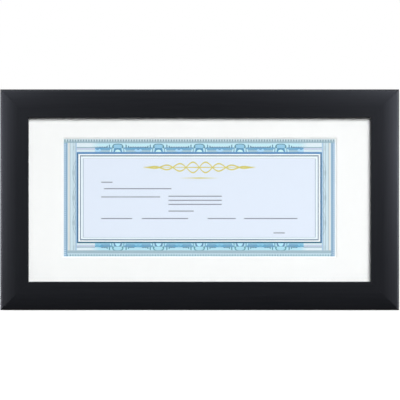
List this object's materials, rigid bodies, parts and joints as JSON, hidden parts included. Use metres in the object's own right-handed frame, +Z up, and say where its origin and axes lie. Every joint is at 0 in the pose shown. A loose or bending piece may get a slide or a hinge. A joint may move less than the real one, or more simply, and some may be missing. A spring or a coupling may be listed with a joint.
{
  "type": "certificate frame",
  "caption": "Landscape certificate frame of black mitred moulding with a white window mat, clear glazing, turn buttons, a sawtooth hanger and a fold-out easel leg.",
  "frame": {"origin": "under the middle of the frame, at its lower edge and halfway through its depth", "axes": "+X to the right seen from the front, +Y from the front to the back, +Z up"},
  "size_m": [0.2844, 0.0208, 0.1574],
  "materials": {
    "moulding": "black satin lacquer",
    "glazing": "clear acrylic",
    "mat": "white paper board",
    "certificate": "printed paper",
    "card": "brown card",
    "hardboard": "smooth hardboard",
    "steel": "nickel plated"
  },
  "bodies": {
    "frame": {"top_rail": "moulding", "bottom_rail": "moulding", "left_stile": "moulding", "right_stile": "moulding", "corner_v_nails": "steel", "glazing": "glazing", "mat_board": "mat", "certificate": "certificate", "filler_card": "card", "back_panel": "hardboard", "turn_button_screws": "steel", "sawtooth_hanger": "steel", "hanger_nails": "steel", "easel_fixed_leaf": "steel", "easel_hinge_pin": "steel", "easel_panel_rivets": "steel"},
    "easel": {"easel_leg": "hardboard", "easel_leg_leaf": "steel", "easel_leg_rivets": "steel"},
    "turn_button_top_left": {"turn_button_top_left": "steel"},
    "turn_button_top_right": {"turn_button_top_right": "steel"},
    "turn_button_bottom_left": {"turn_button_bottom_left": "steel"},
    "turn_button_bottom_right": {"turn_button_bottom_right": "steel"},
    "turn_button_left": {"turn_button_left": "steel"},
    "turn_button_right": {"turn_button_right": "steel"}
  },
  "joints": [
    {"name": "easel_hinge", "type": "hinge", "parent": "frame", "child": "easel", "pos_m": [0, 0.00735, 0.1202], "axis": [1, 0, 0], "range_deg": [0, 35]},
    {"name": "turn_button_top_left_pivot", "type": "hinge", "parent": "frame", "child": "turn_button_top_left", "pos_m": [-0.075, 0.00535, 0.1502], "axis": [0, 1, 0], "continuous": true},
    {"name": "turn_button_top_right_pivot", "type": "hinge", "parent": "frame", "child": "turn_button_top_right", "pos_m": [0.075, 0.00535, 0.1502], "axis": [0, 1, 0], "continuous": true},
    {"name": "turn_button_bottom_left_pivot", "type": "hinge", "parent": "frame", "child": "turn_button_bottom_left", "pos_m": [-0.075, 0.00535, 0.0072], "axis": [0, 1, 0], "continuous": true},
    {"name": "turn_button_bottom_right_pivot", "type": "hinge", "parent": "frame", "child": "turn_button_bottom_right", "pos_m": [0.075, 0.00535, 0.0072], "axis": [0, 1, 0], "continuous": true},
    {"name": "turn_button_left_pivot", "type": "hinge", "parent": "frame", "child": "turn_button_left", "pos_m": [-0.135, 0.00535, 0.0787], "axis": [0, 1, 0], "continuous": true},
    {"name": "turn_button_right_pivot", "type": "hinge", "parent": "frame", "child": "turn_button_right", "pos_m": [0.135, 0.00535, 0.0787], "axis": [0, 1, 0], "continuous": true}
  ]
}
